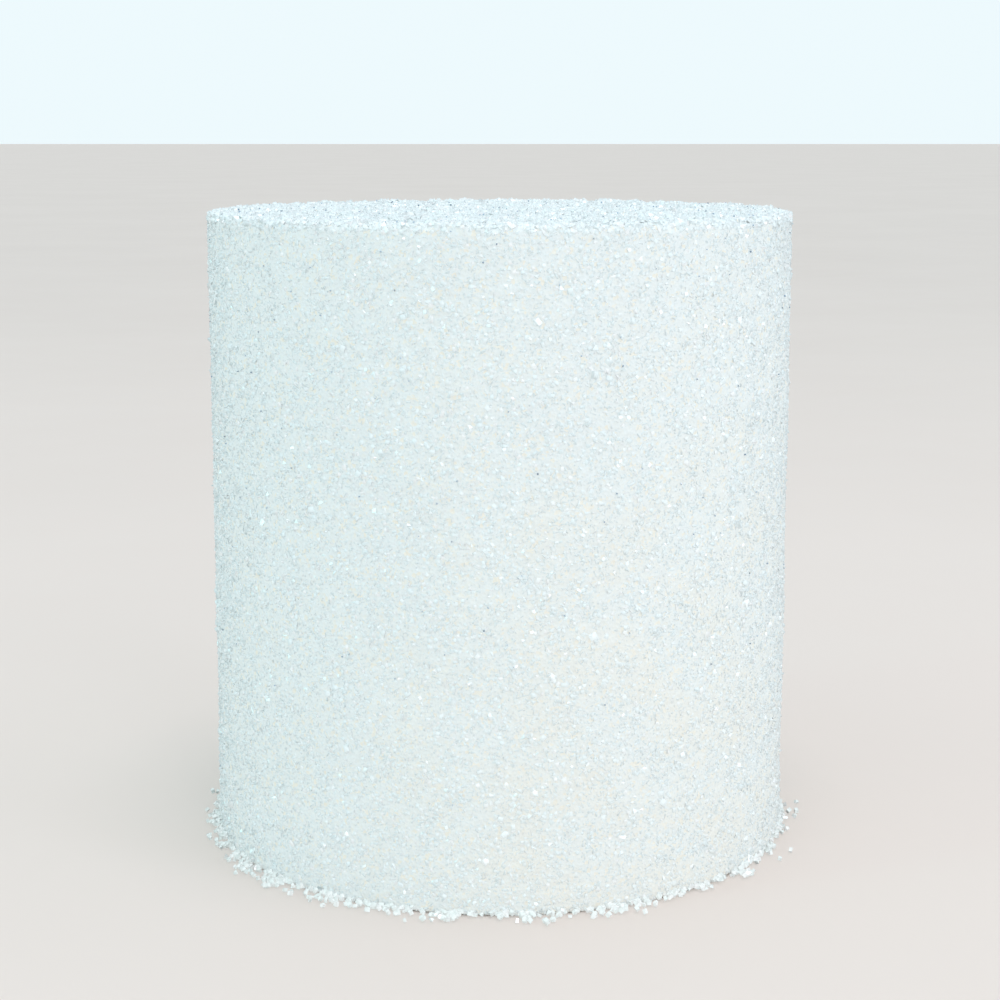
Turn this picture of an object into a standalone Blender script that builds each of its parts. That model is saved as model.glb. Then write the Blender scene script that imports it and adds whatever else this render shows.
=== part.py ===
"""A tall, straight-sided round cake, coated all over in coarse sugar crystals.

Metres, +Z up. The origin is at the middle of the flat underside. The cake is one
solid: a turned core whose surface is slightly uneven, with the corners of the
largest crystals standing out of its side, top and rim, and whole crystals lying
against its foot.
"""

import math
import random

import bmesh
import bpy
from mathutils import Euler, Matrix, Quaternion, Vector, noise

# The cake over its sugar
CAKE_WIDTH = 0.161
CAKE_HEIGHT = 0.172

# The core, which the crystals stand out of
SUGAR_STANDS_OUT = 0.0005
CORE_RADIUS = CAKE_WIDTH / 2 - SUGAR_STANDS_OUT
CORE_HEIGHT = CAKE_HEIGHT - SUGAR_STANDS_OUT
RIM_ROUNDING = 0.0026
FOOT_ROUNDING = 0.0012
CORE_STEPS = 64
SIDE_ROWS = 12
TOP_RINGS = 5
RIM_POINTS = 3
FOOT_POINTS = 1

# How far the icing under the sugar wanders from a true cylinder
SIDE_UNEVENNESS = 0.00035
TOP_UNEVENNESS = 0.00025
UNEVENNESS_LENGTH = 0.022
EVEN_BELOW = 0.0002

# The crystals: how many, the length of their edges, how far a corner stands out as
# a share of an edge, and how far they lean, in radians
SIDE_CRYSTALS = 420
TOP_CRYSTALS = 106
RIM_CRYSTALS = 52
FOOT_CRYSTALS = 60
CRYSTAL_SMALLEST = 0.0018
CRYSTAL_LARGEST = 0.0027
CORNER_OUT_LEAST = 0.38
CORNER_OUT_MOST = 0.5
LEAN_MOST = 0.3
FOOT_CRYSTAL_SMALLEST = 0.0015
FOOT_CRYSTAL_LARGEST = 0.0026
FOOT_REACH_LEAST = 0.0007
FOOT_REACH_MOST = 0.0023
FOOT_BITE = 0.0016
FOOT_CLEARANCE = 0.0002
JITTER = 0.55
SEED = 7366

GOLDEN_ANGLE = math.pi * (3 - math.sqrt(5))


def clear_scene():
    for obj in list(bpy.data.objects):
        bpy.data.objects.remove(obj, do_unlink=True)


def new_collection(name):
    collection = bpy.data.collections.new(name)
    bpy.context.scene.collection.children.link(collection)
    return collection


def sugar_material():
    """White sugar: a pale, slightly cool white, half glossy."""
    material = bpy.data.materials.new("sugar")
    material.use_nodes = True
    shader = material.node_tree.nodes["Principled BSDF"]
    shader.inputs["Base Color"].default_value = (0.80, 0.87, 0.88, 1)
    shader.inputs["Roughness"].default_value = 0.42
    shader.inputs["Metallic"].default_value = 0
    return material


def arc(centre_radius, centre_height, radius, start, end, points):
    """Points of a quarter turn of rounding, as (distance from the axis, height)."""
    spots = []
    for index in range(points + 1):
        angle = math.radians(start + (end - start) * index / points)
        spots.append((centre_radius + radius * math.cos(angle), centre_height + radius * math.sin(angle)))
    return spots


def core_profile():
    """The core's outline from the middle of the top to the middle of the underside."""
    rim_start = CORE_RADIUS - RIM_ROUNDING
    outline = [(rim_start * ring / TOP_RINGS, CORE_HEIGHT) for ring in range(TOP_RINGS)]
    outline += arc(rim_start, CORE_HEIGHT - RIM_ROUNDING, RIM_ROUNDING, 90, 0, RIM_POINTS)
    side_top = CORE_HEIGHT - RIM_ROUNDING
    for row in range(1, SIDE_ROWS):
        height = side_top + (FOOT_ROUNDING - side_top) * row / SIDE_ROWS
        outline.append((CORE_RADIUS, height))
    outline += arc(CORE_RADIUS - FOOT_ROUNDING, FOOT_ROUNDING, FOOT_ROUNDING, 0, -90, FOOT_POINTS)
    outline.append((0, 0))
    return outline


def turn_core(collection, material):
    mesh = bpy.data.meshes.new("cake")
    points = [(across, 0, height) for across, height in core_profile()]
    edges = [(index, index + 1) for index in range(len(points) - 1)]
    mesh.from_pydata(points, edges, [])
    core = bpy.data.objects.new("cake", mesh)
    collection.objects.link(core)
    core.data.materials.append(material)
    screw = core.modifiers.new("turn", "SCREW")
    screw.axis = "Z"
    screw.steps = CORE_STEPS
    screw.render_steps = CORE_STEPS
    screw.use_merge_vertices = True
    screw.merge_threshold = 0.0001
    apply_modifiers(core)
    return core


def apply_modifiers(obj):
    """Replaces the object's mesh with what its modifiers make of it."""
    graph = bpy.context.evaluated_depsgraph_get()
    before = obj.data
    after = bpy.data.meshes.new_from_object(obj.evaluated_get(graph))
    obj.modifiers.clear()
    obj.data = after
    bpy.data.meshes.remove(before)
    after.name = obj.name


def roughen(core):
    """Moves the core's surface in and out a little, and leaves the underside flat."""
    for vertex in core.data.vertices:
        spot = vertex.co
        if spot.z < EVEN_BELOW:
            continue
        swell = noise.noise(spot / UNEVENNESS_LENGTH)
        across = math.hypot(spot.x, spot.y)
        if across > CORE_RADIUS - RIM_ROUNDING:
            spread = 1 + SIDE_UNEVENNESS * swell / across
            vertex.co = Vector((spot.x * spread, spot.y * spread, spot.z))
        else:
            vertex.co = Vector((spot.x, spot.y, spot.z + TOP_UNEVENNESS * swell))


def random_edges(draw, smallest, largest):
    return Vector([draw.uniform(smallest, largest) for _ in range(3)])


def add_crystal(collection, name, spot, turn, edges):
    """One sugar crystal, a small block with its own length, width and height."""
    mesh = bpy.data.meshes.new(name)
    block = bmesh.new()
    placing = Matrix.LocRotScale(spot, turn, edges)
    bmesh.ops.create_cube(block, size=1, matrix=placing)
    block.to_mesh(mesh)
    block.free()
    crystal = bpy.data.objects.new(name, mesh)
    crystal.hide_render = True
    crystal.display_type = "WIRE"
    collection.objects.link(crystal)


def add_corner(collection, name, spot, outward, draw):
    """A crystal sunk in the surface at this spot, with one of its corners standing out."""
    edges = random_edges(draw, CRYSTAL_SMALLEST, CRYSTAL_LARGEST)
    lean = Euler((draw.uniform(-LEAN_MOST, LEAN_MOST), draw.uniform(-LEAN_MOST, LEAN_MOST), 0))
    spin = Quaternion(outward, draw.uniform(0, math.tau))
    turn = spin @ edges.rotation_difference(outward) @ lean.to_quaternion()
    sink = edges.length / 2 - min(edges) * draw.uniform(CORNER_OUT_LEAST, CORNER_OUT_MOST)
    add_crystal(collection, name, spot - outward * sink, turn, edges)


def side_crystals(collection, draw):
    """Crystals spread evenly over the side, by turns of the golden angle going up."""
    low = FOOT_CRYSTAL_LARGEST * 2
    high = CORE_HEIGHT - RIM_ROUNDING * 2
    step = (high - low) / SIDE_CRYSTALS
    spacing = math.sqrt(math.tau * CORE_RADIUS * (high - low) / SIDE_CRYSTALS)
    for index in range(SIDE_CRYSTALS):
        around = index * GOLDEN_ANGLE + draw.uniform(-JITTER, JITTER) * spacing / CORE_RADIUS / 2
        height = low + step * (index + 0.5) + draw.uniform(-JITTER, JITTER) * spacing / 2
        height = min(max(height, low), high)
        outward = Vector((math.cos(around), math.sin(around), 0))
        spot = outward * CORE_RADIUS + Vector((0, 0, height))
        add_corner(collection, f"side_crystal_{index:03d}", spot, outward, draw)


def top_crystals(collection, draw):
    """Crystals spread evenly over the top, by turns of the golden angle going outward."""
    reach = CORE_RADIUS - RIM_ROUNDING * 2
    spacing = reach * math.sqrt(math.pi / TOP_CRYSTALS)
    for index in range(TOP_CRYSTALS):
        across = reach * math.sqrt((index + 0.5) / TOP_CRYSTALS)
        around = index * GOLDEN_ANGLE
        shift = Vector([draw.uniform(-JITTER, JITTER) * spacing / 2 for _ in range(2)]).to_3d()
        spot = Vector((across * math.cos(around), across * math.sin(around), CORE_HEIGHT)) + shift
        add_corner(collection, f"top_crystal_{index:03d}", spot, Vector((0, 0, 1)), draw)


def ring_angles(draw, count):
    """Angles round a circle, evenly spread and each moved a little."""
    return [math.tau * (index + draw.uniform(-JITTER, JITTER) / 2) / count for index in range(count)]


def rim_crystals(collection, draw):
    """Crystals on the rounded edge between the side and the top."""
    for index, around in enumerate(ring_angles(draw, RIM_CRYSTALS)):
        climb = math.radians(draw.uniform(15, 75))
        sideways = Vector((math.cos(around), math.sin(around), 0))
        outward = sideways * math.cos(climb) + Vector((0, 0, math.sin(climb)))
        centre = sideways * (CORE_RADIUS - RIM_ROUNDING) + Vector((0, 0, CORE_HEIGHT - RIM_ROUNDING))
        spot = centre + outward * RIM_ROUNDING
        add_corner(collection, f"rim_crystal_{index:03d}", spot, outward, draw)


def foot_crystals(collection, draw):
    """Crystals lying round the foot, each just clear of the plane of the underside."""
    for index, around in enumerate(ring_angles(draw, FOOT_CRYSTALS)):
        edges = random_edges(draw, FOOT_CRYSTAL_SMALLEST, FOOT_CRYSTAL_LARGEST)
        reach = draw.uniform(FOOT_REACH_LEAST, FOOT_REACH_MOST)
        edges.x = reach + FOOT_BITE
        across = CORE_RADIUS + reach - edges.x / 2
        height = FOOT_CLEARANCE + edges.z / 2
        spot = Vector((across * math.cos(around), across * math.sin(around), height))
        turn = Euler((0, 0, around + draw.uniform(-JITTER, JITTER)))
        add_crystal(collection, f"foot_crystal_{index:03d}", spot, turn, edges)


def fuse(core, crystals):
    """Joins every crystal to the core and removes the separate ones."""
    union = core.modifiers.new("fuse_crystals", "BOOLEAN")
    union.operation = "UNION"
    union.operand_type = "COLLECTION"
    union.collection = crystals
    union.solver = "EXACT"
    apply_modifiers(core)
    for crystal in list(crystals.objects):
        bpy.data.objects.remove(crystal, do_unlink=True)
    bpy.data.collections.remove(crystals)


def main():
    clear_scene()
    cake_parts = new_collection("sugared_cake")
    crystals = new_collection("crystals")
    draw = random.Random(SEED)
    core = turn_core(cake_parts, sugar_material())
    roughen(core)
    side_crystals(crystals, draw)
    top_crystals(crystals, draw)
    rim_crystals(crystals, draw)
    foot_crystals(crystals, draw)
    fuse(core, crystals)
    core.data.shade_smooth()
    core.data.set_sharp_from_angle(angle=math.radians(35))


main()
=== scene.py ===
"""The visual model of a tall round cake coated in coarse white sugar crystals.

Metres, +Z up, the cake standing on the floor at the origin. Cream icing carries a
close coat of separate sugar crystals of several kinds, and loose ones lie round
the foot.
"""

import math

import bpy
import numpy as np
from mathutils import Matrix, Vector, noise


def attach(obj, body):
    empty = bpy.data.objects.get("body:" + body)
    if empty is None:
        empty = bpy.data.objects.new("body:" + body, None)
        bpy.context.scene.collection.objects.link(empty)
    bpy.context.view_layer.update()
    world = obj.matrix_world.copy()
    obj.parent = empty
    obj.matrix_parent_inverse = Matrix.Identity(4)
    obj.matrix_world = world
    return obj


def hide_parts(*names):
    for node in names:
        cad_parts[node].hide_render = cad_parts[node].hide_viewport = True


SEED = 7366

# The floor, and how far over it the lowest crystals lie
FLOOR_REACH = 30.0
FLOOR_DROP = 0.0002
FLOOR_GAP = 0.00002

# The icing under the sugar
ICING_RADIUS = 0.0798
ICING_HEIGHT = 0.1721
RIM_ROUNDING = 0.0015
ICING_RIM_ROUNDING = 0.0022
FOOT_ROUNDING = 0.0007
ICING_COLUMNS = 360
ICING_ROW_STEP = 0.00125
TOP_ROW_STEP = 0.0016
UNDERSIDE_ROW_STEP = 0.02
GRAININESS = 0.00022

# How far the icing wanders from a true cylinder, and the lumps of sugar on the top
SIDE_UNEVENNESS = 0.00035
TOP_UNEVENNESS = 0.00025
UNEVENNESS_LENGTH = 0.022
TOP_LUMPS = 0.0011
TOP_LUMP_LENGTH = 0.0045
EVEN_BELOW = FOOT_ROUNDING / 2

# Which part of the cake a spot is on, by how far the surface there faces up
ICING_TOP_ABOVE = 0.7
COAT_TOP_ABOVE = 0.5
RIM_ABOVE = 0.15
RIM_BELOW = 0.97

# The sugar coat: how far apart the crystals lie, the mean length of an edge, and how
# high their middles stand over the icing
COAT_SPACING = 0.00099
CRYSTAL_EDGE = 0.0009
EDGE_VARIES = 0.17
SHORTEST_EDGE = 0.5
LONGEST_EDGE = 1.6
COAT_JITTER = 0.42
COAT_LIFT = -0.00032
LIFT_VARIES = 0.00009
LARGE_SHARE = 0.012
LARGE_GROWS = 1.4
LARGE_LIFT = 0.0002
CLUMP_LENGTH = 0.0042
CLUMP_LIFT = 0.00022
TOP_CLUMPS_GROW = 1.9
TOP_LIFT = 0.00015
RIM_LIFT = 0.0002
THIN_PATCH_LENGTH = 0.0065
THIN_PATCH_ABOVE = 0.22
THIN_PATCH_KEEPS = 0.7
SETTLES_BELOW = 0.0006

# Small grains of painted shade: their very dark tints stand in for the dark seen in the gaps between
# crystals and through clear crystals. More of them lie toward the rim and on the top
DARK_GRAINS_ON_SIDE = 260
DARK_GRAINS_GATHER_HIGH = 2.0
DARK_GRAINS_ON_TOP = 430
DARK_GRAIN_EDGE = 0.00034
DARK_GRAINS_SHRINK_ON_SIDE = 0.76
DARK_GRAIN_LIFT = 0.0003

# Loose crystals round the foot: they lie in clumps and thin out over a width that is
# largest toward one direction, in degrees, and strays lie beyond them
FRINGE_CRYSTALS = 2200
FRINGE_EDGE = 0.00092
FRINGE_PROPORTIONS = (1.0, 1.05, 1.2)
FRINGE_NEAR = 0.0003
FRINGE_FADES_OVER = 0.0014
FRINGE_WIDEST_TOWARD = -110
FRINGE_WIDTH = 0.35
FRINGE_WIDENS = 0.75
FRINGE_NARROWEST = 0.3
FRINGE_REACH = 0.0048
FRINGE_CLUMP_LENGTH = 0.0055
FRINGE_CLUMPS_WIDEN = 1.5
FRINGE_KEEPS = 0.5
FRINGE_CLUMPING = 1.4
FRINGE_LEAST = 0.24
FRINGE_HEAPED = 0.35
STRAY_CRYSTALS = 60
STRAY_REACH = 0.0075

# How far the shading of a facet turns to the coat's own
COAT_SOFTNESS = 0.42
FRINGE_SOFTNESS = 0.5

# The share of a cell of the colour map that is left free along its edges
CELL_MARGIN = 0.06

# The forms of crystal, as corners in a unit box and faces seen from outside
HALVES = (-0.5, 0.5)
BLOCK_CORNERS = np.array([(x, y, z) for x in HALVES for y in HALVES for z in HALVES])
BLOCK_FACES = [(0, 1, 3, 2), (4, 6, 7, 5), (0, 4, 5, 1), (2, 3, 7, 6), (0, 2, 6, 4), (1, 5, 7, 3)]
WEDGE_END = ((-0.5, -0.4), (0.5, -0.4), (0.0, 0.6))
WEDGE_CORNERS = np.array([(x, y, z) for x in HALVES for y, z in WEDGE_END])
WEDGE_FACES = [(0, 2, 1), (3, 4, 5), (0, 1, 4, 3), (1, 2, 5, 4), (2, 0, 3, 5)]
CHIP_CORNERS = np.array([(-0.5, -0.5, -0.5), (0.5, 0.5, -0.5), (0.5, -0.5, 0.5), (-0.5, 0.5, 0.5)])
CHIP_FACES = [(0, 1, 2), (0, 3, 1), (0, 2, 3), (1, 3, 2)]

# The kinds of crystal in the coat: form, proportions of the edges and share of the coat
COAT_KINDS = [
    ("sugar_blocks", BLOCK_CORNERS, BLOCK_FACES, (1.0, 1.0, 1.0), 0.14),
    ("sugar_bars", BLOCK_CORNERS, BLOCK_FACES, (0.92, 0.95, 1.2), 0.14),
    ("sugar_wedges", WEDGE_CORNERS, WEDGE_FACES, (1.2, 1.2, 1.2), 0.2),
    ("sugar_chips", CHIP_CORNERS, CHIP_FACES, (1.1, 1.1, 1.0), 0.26),
    ("sugar_shards", CHIP_CORNERS, CHIP_FACES, (1.0, 0.9, 1.3), 0.26),
]

# The kinds of loose crystal, and which share of them each is, from where to where
LOOSE_KINDS = [
    ("loose_blocks", BLOCK_CORNERS, BLOCK_FACES, 0.0, 0.55),
    ("loose_wedges", WEDGE_CORNERS, WEDGE_FACES, 0.55, 1.0),
]

# The tints, each with its place between the first and the last crystal or grain
# Icing tints: the icing's own cream and white, kept darker than the sugar as painted shade between the
# crystals, which cast no soft shade on it
ICING_TINTS_AND_PAINTED_SHADE = [
    (0.25, (0.81, 0.893, 0.91)),
    (0.5, (0.825, 0.90, 0.91)),
    (0.74, (0.84, 0.90, 0.885)),
    (0.82, (0.885, 0.88, 0.79)),
]
# Sugar tints: the lower stops are the crystals' own tone, which differs at random; the whitest stops, from
# 0.9 up, on about a tenth of the crystals, are painted glints
SUGAR_TINTS_AND_PAINTED_GLINTS = [
    (0.0, (0.805, 0.936, 0.964)),
    (0.45, (0.826, 0.94, 0.962)),
    (0.87, (0.851, 0.945, 0.962)),
    (0.9, (0.908, 0.968, 0.98)),
    (1.0, (0.928, 0.974, 0.984)),
]
LOOSE_TINTS = [(0.0, (0.82, 0.90, 0.88)), (0.5, (0.86, 0.925, 0.905)), (1.0, (0.93, 0.955, 0.94))]
# Painted shade: the dark grains' very dark tints stand in for the dark seen in the gaps between crystals
# and through clear crystals
PAINTED_SHADE_TINTS = [(0.0, (0.05, 0.12, 0.22)), (0.5, (0.22, 0.36, 0.52)), (1.0, (0.52, 0.66, 0.80))]
FLOOR_TINTS = [(0.3, (0.745, 0.67, 0.625)), (0.7, (0.765, 0.69, 0.645))]

# The cream that shows through where the sugar lies thin: its colour and largest share
# on the icing and on the crystals, and how the share grows downward and to the right
CREAM_ON_ICING = (0.875, 0.865, 0.785)
CREAM_ON_SUGAR = (0.89, 0.915, 0.875)
CREAM_SHARE_OF_ICING = 0.28
CREAM_SHARE_OF_SUGAR = 0.2
CREAM_PATCH_SCALE = 60
CREAM_PATCH_DETAIL = 6
CREAM_BETWEEN_PATCHES = 0.4
CREAM_PATCH_STOPS = (0.4, 0.66)
CREAM_DOWNWARD = ((ICING_HEIGHT, 0), (0.3, 1.9))
CREAM_RIGHTWARD = ((-0.04, 0.01), (0.35, 1.5))

# The fine relief: how many noise patterns or cells go to a metre, and its depth
ICING_CELLS = 1150
ICING_BUMP = 0.5
ICING_BUMP_DEPTH = 0.0003
ICING_ROUGHNESS_SCALE = 700
CRYSTAL_BUMP_SCALE = 3000
CRYSTAL_BUMP = 0.1
CRYSTAL_BUMP_DEPTH = 0.0001
FLOOR_CLOUD_SCALE = 3
FLOOR_ROUGHNESS_SCALE = 20
GLASSY_COAT_IOR = 1.9

# The lights: name, place, width, power in watts and colour
LIGHTS = [
    ("front_light", (0.45, -1.4, 0.6), 0.3, 1.0, (1.0, 0.97, 0.97)),
    ("left_light", (-1.4, -0.6, 0.6), 0.3, 1.5, (0.42, 1.0, 0.98)),
    ("right_light", (1.2, -0.8, 0.6), 0.5, 2.2, (0.77, 0.88, 1.0)),
    ("top_light", (0.1, -0.2, 1.5), 0.5, 3.0, (1.0, 0.87, 0.9)),
]

# The pale room round the cake, which is brightest toward one side
ROOM_BRIGHTEST_TOWARD = (0.55, -0.8, 0.15)
ROOM_TINTS = [(0.0, (0.805, 0.90, 0.93)), (0.5, (0.885, 0.935, 0.97)), (1.0, (0.93, 0.955, 0.985))]
ROOM_STRENGTH = 1.06

# The camera, at the photograph's viewing angle
CAMERA_DISTANCE = 0.5466
CAMERA_HEIGHT = 0.194
CAMERA_PITCH = 9.22
CAMERA_SEES_FROM = 0.01
FOCAL_LENGTH = 70.7
SENSOR_WIDTH = 36
FRAME_SHIFT_Y = -0.05


def noise_at(points, length):
    """Smooth noise at each point, from -1 to 1, that changes over about this length."""
    return np.array([noise.noise(Vector(point) / length) for point in points])


def level_directions(angles):
    """The level direction from the cake's axis at each angle."""
    return np.column_stack([np.cos(angles), np.sin(angles), np.zeros(len(angles))])


def arc(centre_radius, centre_height, radius, start, end, step):
    """Points round a quarter turn, as (distance from the axis, height)."""
    count = max(2, round(radius * math.pi / 2 / step))
    angles = np.radians(np.linspace(start, end, count + 1))
    across = centre_radius + radius * np.cos(angles)
    height = centre_height + radius * np.sin(angles)
    return np.stack([across, height], axis=1)


def straight(start, end, step):
    """Points along a line, without its first and last."""
    start, end = np.array(start), np.array(end)
    count = max(1, round(np.linalg.norm(end - start) / step))
    shares = np.linspace(0, 1, count + 1)[1:-1, None]
    return start + (end - start) * shares


def profile_normals(outline):
    """The outward direction at each point of an outline that runs from the foot up."""
    along = np.gradient(outline, axis=0)
    outward = np.stack([along[:, 1], -along[:, 0]], axis=1)
    return outward / np.linalg.norm(outward, axis=1, keepdims=True)


def coat_outline(side_step, top_step, rim_rounding):
    """The outline of the coated surface, from the foot up the side and in over the top."""
    foot = arc(ICING_RADIUS - FOOT_ROUNDING, FOOT_ROUNDING, FOOT_ROUNDING, -90, 0, side_step)
    rim_centre = (ICING_RADIUS - rim_rounding, ICING_HEIGHT - rim_rounding)
    rim = arc(*rim_centre, rim_rounding, 0, 90, side_step)
    side = straight(foot[-1], rim[0], side_step)
    top = straight(rim[-1], (0, ICING_HEIGHT), top_step)
    return np.concatenate([foot, side, rim, top])


def displaced(points, normals, amount):
    """The points, each moved along its normal by its own amount."""
    return points + normals * amount[:, None]


def follow_unevenness(points, normals):
    """Moves points on the coated surface as the icing under them wanders, and heaps the top."""
    depth = np.where(np.abs(normals[:, 2]) > ICING_TOP_ABOVE, TOP_UNEVENNESS, SIDE_UNEVENNESS)
    depth = np.where(points[:, 2] < EVEN_BELOW, 0, depth)
    lumps = TOP_LUMPS * normals[:, 2].clip(0, 1) * noise_at(points, TOP_LUMP_LENGTH)
    return displaced(points, normals, depth * noise_at(points, UNEVENNESS_LENGTH) + lumps)


def new_mesh(name, corners, loops, sides):
    """A mesh from its corners, the corners of all its faces in a row, and the sides of each face."""
    mesh = bpy.data.meshes.new(name)
    mesh.vertices.add(len(corners))
    mesh.vertices.foreach_set("co", corners.astype(np.float32).ravel())
    mesh.loops.add(len(loops))
    mesh.loops.foreach_set("vertex_index", loops.astype(np.int32))
    mesh.polygons.add(len(sides))
    starts = np.cumsum(sides) - sides
    mesh.polygons.foreach_set("loop_start", starts.astype(np.int32))
    mesh.update(calc_edges=True)
    return mesh


def add_colour_map(mesh, spots):
    """Lays the faces out in the unit square that the colours are kept in."""
    layer = mesh.uv_layers.new(name="OFBake")
    layer.uv.foreach_set("vector", spots.astype(np.float32).ravel())


def new_piece(name, mesh, material):
    """An object in the scene that stands for the solid cake and rides on it."""
    piece = bpy.data.objects.new(name, mesh)
    bpy.context.scene.collection.objects.link(piece)
    mesh.materials.append(material)
    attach(piece, "root")
    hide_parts("cake")
    return piece


def turned(pairs):
    """Points of an outline turned round the axis, row by row."""
    angles = np.linspace(0, math.tau, ICING_COLUMNS, endpoint=False)
    across = np.stack([np.cos(angles), np.sin(angles)], axis=1)
    flat = pairs[:, None, 0, None] * across[None]
    tall = np.repeat(pairs[:, 1], ICING_COLUMNS).reshape(len(pairs), ICING_COLUMNS, 1)
    return np.concatenate([flat, tall], axis=2).reshape(-1, 3)


def icing_points(draw):
    """The icing's surface from the underside up, with a fine grainy relief, and its rows."""
    outline = coat_outline(ICING_ROW_STEP, TOP_ROW_STEP, ICING_RIM_ROUNDING)[:-1]
    normals = profile_normals(outline)
    under = straight((0, 0), outline[0], UNDERSIDE_ROW_STEP)
    outline = np.concatenate([under, outline])
    normals = np.concatenate([np.tile((0.0, -1.0), (len(under), 1)), normals])
    points, outward = turned(outline), turned(normals)
    grainy = np.repeat(outline[:, 1] > EVEN_BELOW, ICING_COLUMNS)
    spread = np.linalg.norm(points[:, :2], axis=1) / ICING_RADIUS
    grain = draw.uniform(-1, 1, len(points)) * GRAININESS * grainy * spread
    return displaced(follow_unevenness(points, outward), outward, grain), len(outline)


def icing_wall(rows):
    """The triangles between the icing's rows, as point numbers, and their colour map places."""
    row, column = (grid.ravel() for grid in np.indices((rows - 1, ICING_COLUMNS)))
    quad = [(row, column), (row, column + 1), (row + 1, column + 1), (row + 1, column)]
    index_of = [r * ICING_COLUMNS + c % ICING_COLUMNS for r, c in quad]
    spot_of = [np.stack([c / ICING_COLUMNS, (r + 1) / (rows + 1)], axis=1) for r, c in quad]
    halves = ((0, 1, 2), (0, 2, 3))
    triangles = [np.stack([index_of[corner] for corner in half], axis=1) for half in halves]
    spots = [np.stack([spot_of[corner] for corner in half], axis=1) for half in halves]
    return triangles, spots


def icing_ends(rows):
    """The fans of triangles in the middle of the underside and of the top, in the same form."""
    ring = np.arange(ICING_COLUMNS)
    after = (ring + 1) % ICING_COLUMNS
    last_row = (rows - 1) * ICING_COLUMNS
    low_middle = rows * ICING_COLUMNS
    under = np.stack([after, ring, np.full(ICING_COLUMNS, low_middle)], axis=1)
    over = np.stack([last_row + ring, last_row + after, np.full(ICING_COLUMNS, low_middle + 1)], axis=1)
    low, high = 1 / (rows + 1), rows / (rows + 1)
    fans = ([(1, low), (0, low), (0.5, 0)], [(0, high), (1, high), (0.5, 1)])
    spots = [np.array([[((r + x) / ICING_COLUMNS, y) for x, y in fan] for r in ring]) for fan in fans]
    return [under, over], spots


def icing_piece(draw, material):
    """The icing as one closed mesh, with a fan of triangles in the middle at each end."""
    points, rows = icing_points(draw)
    wall, wall_spots = icing_wall(rows)
    ends, end_spots = icing_ends(rows)
    triangles = np.concatenate([*wall, *ends])
    middles = np.array([(0, 0, 0), (0, 0, ICING_HEIGHT)], dtype=float)
    corners = np.concatenate([points, middles])
    mesh = new_mesh("icing", corners, triangles.ravel(), np.full(len(triangles), 3))
    add_colour_map(mesh, np.concatenate([*wall_spots, *end_spots]))
    mesh.shade_smooth()
    return new_piece("icing", mesh, material)


def coat_places(draw):
    """Where the crystals lie: points all over the coated surface, and the way out at each."""
    outline = coat_outline(COAT_SPACING, COAT_SPACING, RIM_ROUNDING)
    normals = profile_normals(outline)
    spots, outward = [], []
    for (radius, height), (out, up) in zip(outline, normals):
        count = max(1, round(math.tau * radius / COAT_SPACING))
        share = np.arange(count) + draw.uniform(0, 1) + draw.uniform(-COAT_JITTER, COAT_JITTER, count)
        angles = math.tau * share / count
        slide = draw.uniform(-COAT_JITTER, COAT_JITTER, count) * COAT_SPACING
        around = np.stack([np.cos(angles), np.sin(angles)], axis=1)
        flat = around * (radius - up * slide)[:, None]
        tall = height + out * slide
        spots.append(np.column_stack([flat, tall]))
        outward.append(np.column_stack([around * out, np.full(count, up)]))
    spots, outward = np.concatenate(spots), np.concatenate(outward)
    thin = noise_at(spots, THIN_PATCH_LENGTH) > THIN_PATCH_ABOVE
    kept = ~thin | (draw.uniform(0, 1, len(spots)) < THIN_PATCH_KEEPS)
    return follow_unevenness(spots[kept], outward[kept]), outward[kept]


def random_turns(draw, count):
    """One evenly drawn random rotation matrix for each crystal."""
    quaternions = draw.normal(size=(count, 4))
    w, x, y, z = (quaternions / np.linalg.norm(quaternions, axis=1, keepdims=True)).T
    rows = [
        (1 - 2 * (y * y + z * z), 2 * (x * y - z * w), 2 * (x * z + y * w)),
        (2 * (x * y + z * w), 1 - 2 * (x * x + z * z), 2 * (y * z - x * w)),
        (2 * (x * z - y * w), 2 * (y * z + x * w), 1 - 2 * (x * x + y * y)),
    ]
    return np.array(rows).transpose(2, 0, 1)


def crystal_corners(draw, shape, count, edges):
    """Corners of that many crystals round their own centres, each turned its own way."""
    growth = (1 + draw.normal(0, EDGE_VARIES, (count, 3))).clip(SHORTEST_EDGE, LONGEST_EDGE)
    local = shape[None] * (np.array(edges) * growth)[:, None]
    return np.einsum("nij,nkj->nki", random_turns(draw, count), local)


def crystal_mesh(name, corners, faces):
    """One mesh of many crystals, with a square cell of the colour map for each face."""
    count, corners_each = corners.shape[:2]
    sides = np.array([len(face) for face in faces])
    starts = (np.arange(count) * corners_each)[:, None]
    loops = (starts + np.concatenate(faces)).ravel()
    mesh = new_mesh(name, corners.reshape(-1, 3), loops, np.tile(sides, count))
    square = {3: [(0, 0), (1, 0), (0, 1)], 4: [(0, 0), (1, 0), (1, 1), (0, 1)]}
    in_cell = CELL_MARGIN + (1 - 2 * CELL_MARGIN) * np.concatenate([square[side] for side in sides])
    face_index = np.repeat(np.arange(count * len(faces)), np.tile(sides, count))
    cells_across = math.ceil(math.sqrt(count * len(faces)))
    cell = np.stack([face_index % cells_across, face_index // cells_across], axis=1)
    add_colour_map(mesh, (cell + np.tile(in_cell, (count, 1))) / cells_across)
    return mesh


def soften_shading(mesh, outward, loops_each, softness):
    """Turns the shading of each face part of the way to the coat's own, as sugar lets light through."""
    normals = np.empty(len(mesh.loops) * 3, np.float32)
    mesh.corner_normals.foreach_get("vector", normals)
    normals = normals.reshape(-1, 3)
    smooth = np.repeat(outward, loops_each, axis=0)
    mixed = normals * (1 - softness) + smooth * softness
    mixed /= np.linalg.norm(mixed, axis=1, keepdims=True)
    mesh.normals_split_custom_set(mixed)


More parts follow.
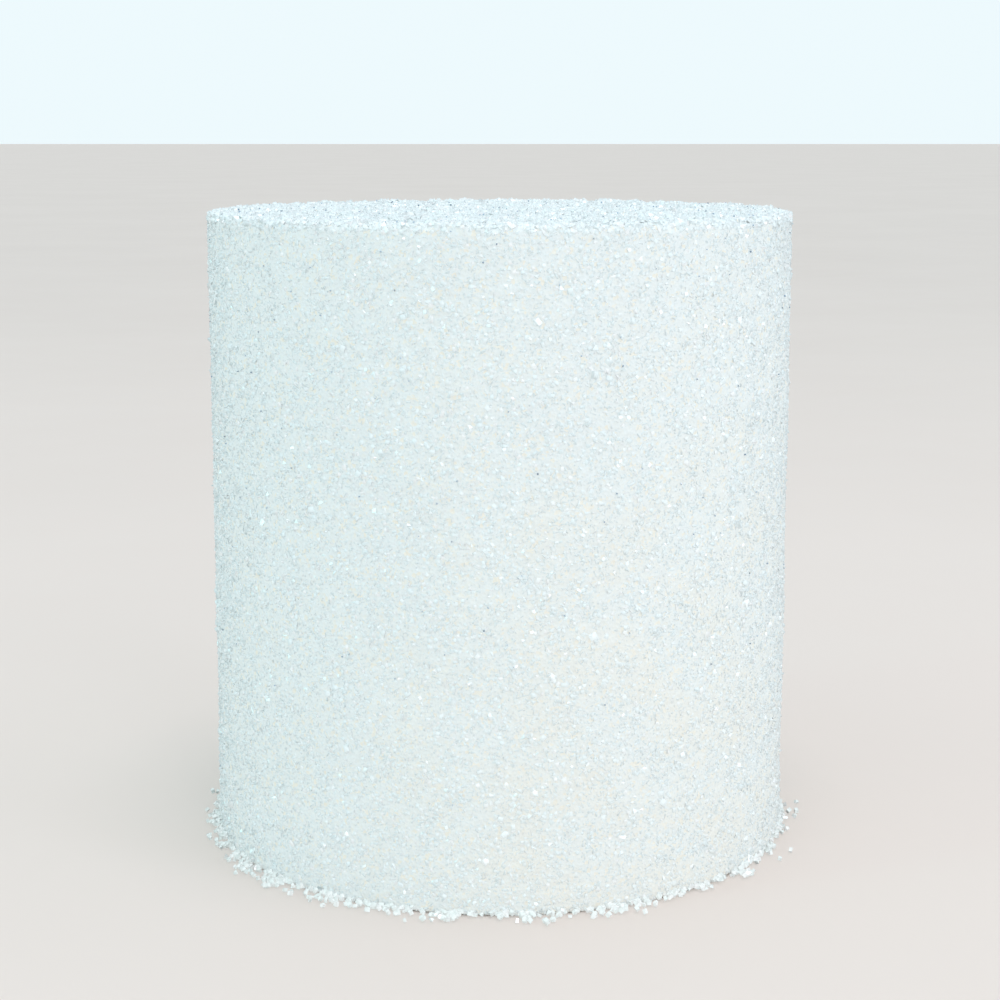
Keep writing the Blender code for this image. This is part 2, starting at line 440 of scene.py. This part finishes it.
def settle(corners, below):
    """Sets the crystals whose lowest corner is under this height down on the floor."""
    lowest = corners[..., 2].min(axis=1)
    corners[..., 2] += np.where(lowest < below, FLOOR_GAP - lowest, 0)[:, None]


def crystal_piece(name, corners, outward, faces, material, softness):
    """A piece of many crystals, none of which reaches below the cake's underside."""
    settle(corners, FLOOR_GAP)
    mesh = crystal_mesh(name, corners, faces)
    soften_shading(mesh, outward, sum(len(face) for face in faces), softness)
    return new_piece(name, mesh, material)


def let_soft_light_through(piece):
    """Soft light goes through clear sugar, so its crystals don't shade anything from it."""
    piece.visible_diffuse = False


def coat_lift(draw, spots, outward, large):
    """How far the middle of each crystal stands out from the coated surface."""
    on_top = outward[:, 2] > COAT_TOP_ABOVE
    on_rim = (outward[:, 2] > RIM_ABOVE) & (outward[:, 2] < RIM_BELOW)
    clumps = noise_at(spots, CLUMP_LENGTH) * np.where(on_top, TOP_CLUMPS_GROW, 1)
    lift = COAT_LIFT + CLUMP_LIFT * clumps + draw.normal(0, LIFT_VARIES, len(spots))
    return lift + TOP_LIFT * on_top + RIM_LIFT * on_rim + LARGE_LIFT * large


def sugar_coat(draw, material):
    """Spreads the kinds of crystal over the whole coat, mixed together."""
    spots, outward = coat_places(draw)
    shares = np.array([share for *_, share in COAT_KINDS])
    chosen = draw.choice(len(COAT_KINDS), size=len(spots), p=shares / shares.sum())
    large = draw.uniform(0, 1, len(spots)) < LARGE_SHARE
    centres = displaced(spots, outward, coat_lift(draw, spots, outward, large))
    growth = np.where(large, LARGE_GROWS, 1)
    for index, (name, shape, faces, proportions, _) in enumerate(COAT_KINDS):
        mine = chosen == index
        edges = np.array(proportions) * CRYSTAL_EDGE
        local = crystal_corners(draw, shape, mine.sum(), edges) * growth[mine][:, None, None]
        corners = local + centres[mine][:, None]
        settle(corners, SETTLES_BELOW)
        let_soft_light_through(crystal_piece(name, corners, outward[mine], faces, material, COAT_SOFTNESS))


def side_grain_places(draw):
    """Where the dark grains lie on the side, and the way out at each."""
    heights = ICING_HEIGHT * draw.power(DARK_GRAINS_GATHER_HIGH, DARK_GRAINS_ON_SIDE)
    outward = level_directions(draw.uniform(0, math.tau, DARK_GRAINS_ON_SIDE))
    spots = outward * ICING_RADIUS
    spots[:, 2] = np.clip(heights, CRYSTAL_EDGE, ICING_HEIGHT - RIM_ROUNDING)
    return spots, outward


def top_grain_places(draw):
    """Where the dark grains lie on the top, and the way out at each."""
    directions = level_directions(draw.uniform(0, math.tau, DARK_GRAINS_ON_TOP))
    across = (ICING_RADIUS - RIM_ROUNDING) * np.sqrt(draw.uniform(0, 1, DARK_GRAINS_ON_TOP))
    spots = directions * across[:, None]
    spots[:, 2] = ICING_HEIGHT
    return spots, np.tile((0.0, 0.0, 1.0), (DARK_GRAINS_ON_TOP, 1))


def dark_grains(draw, material):
    """Small grains of painted shade on the side and on the top, dark where the gaps between crystals and
    clear crystals show dark.
    """
    places = side_grain_places(draw), top_grain_places(draw)
    spots, outward = (np.concatenate(part) for part in zip(*places))
    lift = np.full(len(spots), DARK_GRAIN_LIFT)
    spots = displaced(follow_unevenness(spots, outward), outward, lift)
    local = crystal_corners(draw, BLOCK_CORNERS, len(spots), np.full(3, DARK_GRAIN_EDGE))
    local[:DARK_GRAINS_ON_SIDE] *= DARK_GRAINS_SHRINK_ON_SIDE
    crystal_piece("sugar_painted_shade_grains", local + spots[:, None], outward, BLOCK_FACES, material, 0)


def fringe_places(draw):
    """Where the loose crystals lie, as angles and distances from the axis."""
    angles = draw.uniform(0, math.tau, FRINGE_CRYSTALS)
    clump = noise_at(level_directions(angles) * ICING_RADIUS, FRINGE_CLUMP_LENGTH)
    keeping = np.maximum(FRINGE_KEEPS + FRINGE_CLUMPING * clump, FRINGE_LEAST)
    kept = draw.uniform(0, 1, FRINGE_CRYSTALS) < keeping
    angles, clump = angles[kept], clump[kept]
    width = FRINGE_WIDTH + FRINGE_WIDENS * np.cos(angles - math.radians(FRINGE_WIDEST_TOWARD))
    fade = FRINGE_FADES_OVER * np.exp(FRINGE_CLUMPS_WIDEN * clump) * np.maximum(width, FRINGE_NARROWEST)
    reach = np.minimum(FRINGE_NEAR + draw.exponential(1, len(angles)) * fade, FRINGE_REACH)
    stray_angles = draw.uniform(0, math.tau, STRAY_CRYSTALS)
    stray_reach = draw.uniform(FRINGE_REACH / 2, STRAY_REACH, STRAY_CRYSTALS)
    return np.concatenate([angles, stray_angles]), ICING_RADIUS + np.concatenate([reach, stray_reach])


def foot_fringe(draw, material):
    """Loose crystals round the foot, lying on the floor or a little heaped against the cake."""
    angles, across = fringe_places(draw)
    chosen = draw.uniform(0, 1, len(angles))
    for name, shape, faces, low, high in LOOSE_KINDS:
        mine = (chosen >= low) & (chosen < high)
        around = level_directions(angles[mine])
        spots = around * across[mine][:, None]
        local = crystal_corners(draw, shape, len(spots), np.array(FRINGE_PROPORTIONS) * FRINGE_EDGE)
        near = np.exp(-(across[mine] - ICING_RADIUS) / FRINGE_FADES_OVER)
        heaped = draw.uniform(0, FRINGE_HEAPED, len(spots)) * near * FRINGE_EDGE
        spots[:, 2] = FLOOR_GAP - local[..., 2].min(axis=1) + heaped
        outward = (around + (0, 0, 1)) / math.sqrt(2)
        corners = local + spots[:, None]
        let_soft_light_through(crystal_piece(name, corners, outward, faces, material, FRINGE_SOFTNESS))


def new_material(name, colour, roughness):
    """A material with its shader set to one colour, and its node tree and that shader."""
    material = bpy.data.materials.new(name)
    material.use_nodes = True
    tree = material.node_tree
    shader = tree.nodes["Principled BSDF"]
    shader.inputs["Base Color"].default_value = (*colour, 1)
    shader.inputs["Roughness"].default_value = roughness
    return material, tree, shader


def add_node(tree, kind, **values):
    """A new node of this kind, with its settings."""
    node = tree.nodes.new(kind)
    for name, value in values.items():
        setattr(node, name, value)
    return node


def ramp(tree, source, stops):
    """The colour between the stops where the source's number falls."""
    node = add_node(tree, "ShaderNodeValToRGB")
    tree.links.new(source, node.inputs["Fac"])
    elements = node.color_ramp.elements
    while len(elements) < len(stops):
        elements.new(0.5)
    for element, (place, colour) in zip(elements, stops):
        element.position = place
        element.color = (*colour, 1)
    return node.outputs["Color"]


def number_ramp(tree, source, stops):
    """The number between the stops where the source's number falls."""
    return ramp(tree, source, [(place, (number,) * 3) for place, number in stops])


def noise_texture(tree, scale, detail=2.0):
    """Smooth noise through space, from 0 to 1."""
    coordinates = add_node(tree, "ShaderNodeTexCoord")
    texture = add_node(tree, "ShaderNodeTexNoise")
    texture.inputs["Scale"].default_value = scale
    texture.inputs["Detail"].default_value = detail
    tree.links.new(coordinates.outputs["Object"], texture.inputs["Vector"])
    return texture.outputs["Fac"]


def cell_texture(tree, scale):
    """A random value for each small cell of space, and the distance from the cell's middle."""
    coordinates = add_node(tree, "ShaderNodeTexCoord")
    texture = add_node(tree, "ShaderNodeTexVoronoi")
    texture.inputs["Scale"].default_value = scale
    tree.links.new(coordinates.outputs["Object"], texture.inputs["Vector"])
    return texture.outputs["Color"], texture.outputs["Distance"]


def random_for_each(tree):
    """A random number for each crystal, from 0 to 1."""
    return add_node(tree, "ShaderNodeNewGeometry").outputs["Random Per Island"]


def mix_colours(tree, share, first, second):
    """The first colour where the share is 0 and the second where it is 1."""
    node = add_node(tree, "ShaderNodeMix", data_type="RGBA")
    tree.links.new(share, node.inputs[0])
    tree.links.new(first, node.inputs[6])
    node.inputs[7].default_value = (*second, 1)
    return node.outputs[2]


def multiplied(tree, first, second):
    """The product of two numbers."""
    product = add_node(tree, "ShaderNodeMath", operation="MULTIPLY")
    tree.links.new(first, product.inputs[0])
    tree.links.new(second, product.inputs[1])
    return product.outputs["Value"]


def along_axis(tree, axis, places, numbers):
    """Runs from the first number to the second between two places on an axis."""
    coordinates = add_node(tree, "ShaderNodeTexCoord")
    axes = add_node(tree, "ShaderNodeSeparateXYZ")
    tree.links.new(coordinates.outputs["Object"], axes.inputs[0])
    run = add_node(tree, "ShaderNodeMapRange")
    for name, value in zip(("From Min", "From Max", "To Min", "To Max"), (*places, *numbers)):
        run.inputs[name].default_value = value
    tree.links.new(axes.outputs[axis], run.inputs["Value"])
    return run.outputs["Result"]


def cream_share(tree, most):
    """Where the sugar lies thin and the cream icing shows through.

    It does so in patches, and the share grows toward the bottom and toward the right, which makes the cake
    a little creamier and darker there.
    """
    patches = noise_texture(tree, CREAM_PATCH_SCALE, CREAM_PATCH_DETAIL)
    share = number_ramp(tree, patches, zip(CREAM_PATCH_STOPS, (CREAM_BETWEEN_PATCHES * most, most)))
    share = multiplied(tree, share, along_axis(tree, "Z", *CREAM_DOWNWARD))
    return multiplied(tree, share, along_axis(tree, "X", *CREAM_RIGHTWARD))


def bump_from(tree, shader, height, strength, distance):
    """Gives the shader a fine relief that follows this height."""
    bump = add_node(tree, "ShaderNodeBump")
    bump.inputs["Strength"].default_value = strength
    bump.inputs["Distance"].default_value = distance
    tree.links.new(height, bump.inputs["Height"])
    tree.links.new(bump.outputs["Normal"], shader.inputs["Normal"])


def icing_material():
    """Cream icing dusted with fine sugar, its tints kept darker than the sugar's as painted shade between
    the crystals, which cast no soft shade on it.
    """
    material, tree, shader = new_material("icing", (0.82, 0.88, 0.86), 0.6)
    grains, from_middle = cell_texture(tree, ICING_CELLS)
    tint = ramp(tree, grains, ICING_TINTS_AND_PAINTED_SHADE)
    colour = mix_colours(tree, cream_share(tree, CREAM_SHARE_OF_ICING), tint, CREAM_ON_ICING)
    tree.links.new(colour, shader.inputs["Base Color"])
    rough = number_ramp(tree, noise_texture(tree, ICING_ROUGHNESS_SCALE), [(0.3, 0.5), (0.7, 0.7)])
    tree.links.new(rough, shader.inputs["Roughness"])
    bump_from(tree, shader, from_middle, ICING_BUMP, ICING_BUMP_DEPTH)
    return material


def finish_crystals(tree, shader, colour, roughness, coat_roughness):
    """Gives crystals their colour, a roughness each, a fine relief and a clear gloss.

    The gloss is bright, as sugar sparkles, and each flat face reflects the room with it.
    """
    tree.links.new(colour, shader.inputs["Base Color"])
    rough = number_ramp(tree, random_for_each(tree), zip((0, 1), roughness))
    tree.links.new(rough, shader.inputs["Roughness"])
    relief = noise_texture(tree, CRYSTAL_BUMP_SCALE)
    bump_from(tree, shader, relief, CRYSTAL_BUMP, CRYSTAL_BUMP_DEPTH)
    shader.inputs["Coat Weight"].default_value = 1.0
    shader.inputs["Coat Roughness"].default_value = coat_roughness
    shader.inputs["Coat IOR"].default_value = GLASSY_COAT_IOR
    geometry = add_node(tree, "ShaderNodeNewGeometry")
    tree.links.new(geometry.outputs["True Normal"], shader.inputs["Coat Normal"])


def sugar_material():
    """White sugar: each crystal has its own tint, the whitest of them painted glints, and some lie in
    creamier patches.
    """
    material, tree, shader = new_material("sugar", (0.86, 0.95, 0.965), 0.5)
    tint = ramp(tree, random_for_each(tree), SUGAR_TINTS_AND_PAINTED_GLINTS)
    colour = mix_colours(tree, cream_share(tree, CREAM_SHARE_OF_SUGAR), tint, CREAM_ON_SUGAR)
    finish_crystals(tree, shader, colour, (0.4, 0.6), 0.2)
    return material


def loose_sugar_material():
    """Loose sugar, a little less blue than where it lies on icing."""
    material, tree, shader = new_material("loose_sugar", (0.87, 0.925, 0.91), 0.4)
    finish_crystals(tree, shader, ramp(tree, random_for_each(tree), LOOSE_TINTS), (0.3, 0.5), 0.1)
    return material


def painted_shade_grain_material():
    """Painted shade: very dark blue tints for small grains, standing in for the dark seen in the gaps
    between crystals and through clear crystals.
    """
    material, tree, shader = new_material("painted_shade_sugar", (0.46, 0.54, 0.62), 0.2)
    finish_crystals(tree, shader, ramp(tree, random_for_each(tree), PAINTED_SHADE_TINTS), (0.15, 0.3), 0.05)
    return material


def floor_material():
    """A plain pale floor, a little cloudy."""
    material, tree, shader = new_material("floor", (0.755, 0.68, 0.635), 0.7)
    cloudy = ramp(tree, noise_texture(tree, FLOOR_CLOUD_SCALE), FLOOR_TINTS)
    tree.links.new(cloudy, shader.inputs["Base Color"])
    matt = number_ramp(tree, noise_texture(tree, FLOOR_ROUGHNESS_SCALE), [(0.3, 0.65), (0.7, 0.75)])
    tree.links.new(matt, shader.inputs["Roughness"])
    return material


def add_floor():
    """A wide level floor just under the cake."""
    mesh = bpy.data.meshes.new("floor")
    corners = [(x * FLOOR_REACH, y * FLOOR_REACH, 0) for x, y in ((-1, -1), (1, -1), (1, 1), (-1, 1))]
    mesh.from_pydata(corners, [], [(0, 1, 2, 3)])
    mesh.materials.append(floor_material())
    floor = bpy.data.objects.new("floor", mesh)
    floor.location.z = -FLOOR_DROP
    bpy.context.scene.collection.objects.link(floor)


def add_light(name, place, size, power, colour):
    """A round soft light aimed at the middle of the cake."""
    data = bpy.data.lights.new(name, "AREA")
    data.shape = "DISK"
    data.size = size
    data.energy = power
    data.color = colour
    light = bpy.data.objects.new(name, data)
    light.location = place
    aim = Vector((0, 0, ICING_HEIGHT / 2)) - Vector(place)
    light.rotation_euler = aim.to_track_quat("-Z", "Y").to_euler()
    bpy.context.scene.collection.objects.link(light)


def add_room():
    """A pale room round the cake, which lights it softly from all sides."""
    world = bpy.data.worlds.new("soft_room")
    world.use_nodes = True
    world.cycles.sampling_method = "NONE"
    tree = world.node_tree
    coordinates = add_node(tree, "ShaderNodeTexCoord")
    facing = add_node(tree, "ShaderNodeVectorMath", operation="DOT_PRODUCT")
    tree.links.new(coordinates.outputs["Generated"], facing.inputs[0])
    facing.inputs[1].default_value = ROOM_BRIGHTEST_TOWARD
    background = tree.nodes["Background"]
    background.inputs["Strength"].default_value = ROOM_STRENGTH
    tree.links.new(ramp(tree, facing.outputs["Value"], ROOM_TINTS), background.inputs["Color"])
    bpy.context.scene.world = world


def add_camera():
    """The camera in front of the cake, a little over its top and looking slightly down."""
    data = bpy.data.cameras.new("camera")
    data.lens = FOCAL_LENGTH
    data.sensor_width = SENSOR_WIDTH
    data.shift_y = FRAME_SHIFT_Y
    data.clip_start = CAMERA_SEES_FROM
    camera = bpy.data.objects.new("camera", data)
    camera.location = (0, -CAMERA_DISTANCE, CAMERA_HEIGHT)
    camera.rotation_euler = (math.radians(90 - CAMERA_PITCH), 0, 0)
    bpy.context.scene.collection.objects.link(camera)
    bpy.context.scene.camera = camera


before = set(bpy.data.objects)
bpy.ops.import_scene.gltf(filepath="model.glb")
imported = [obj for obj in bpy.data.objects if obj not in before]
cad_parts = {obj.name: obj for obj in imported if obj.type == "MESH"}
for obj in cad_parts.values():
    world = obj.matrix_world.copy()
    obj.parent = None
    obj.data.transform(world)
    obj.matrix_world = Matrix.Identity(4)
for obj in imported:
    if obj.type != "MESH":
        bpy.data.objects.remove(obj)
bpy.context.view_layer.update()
draw = np.random.default_rng(SEED)
bpy.context.scene.view_settings.view_transform = "Standard"
add_camera()
add_floor()
for light in LIGHTS:
    add_light(*light)
add_room()
icing_piece(draw, icing_material())
sugar_coat(draw, sugar_material())
dark_grains(draw, painted_shade_grain_material())
foot_fringe(draw, loose_sugar_material())
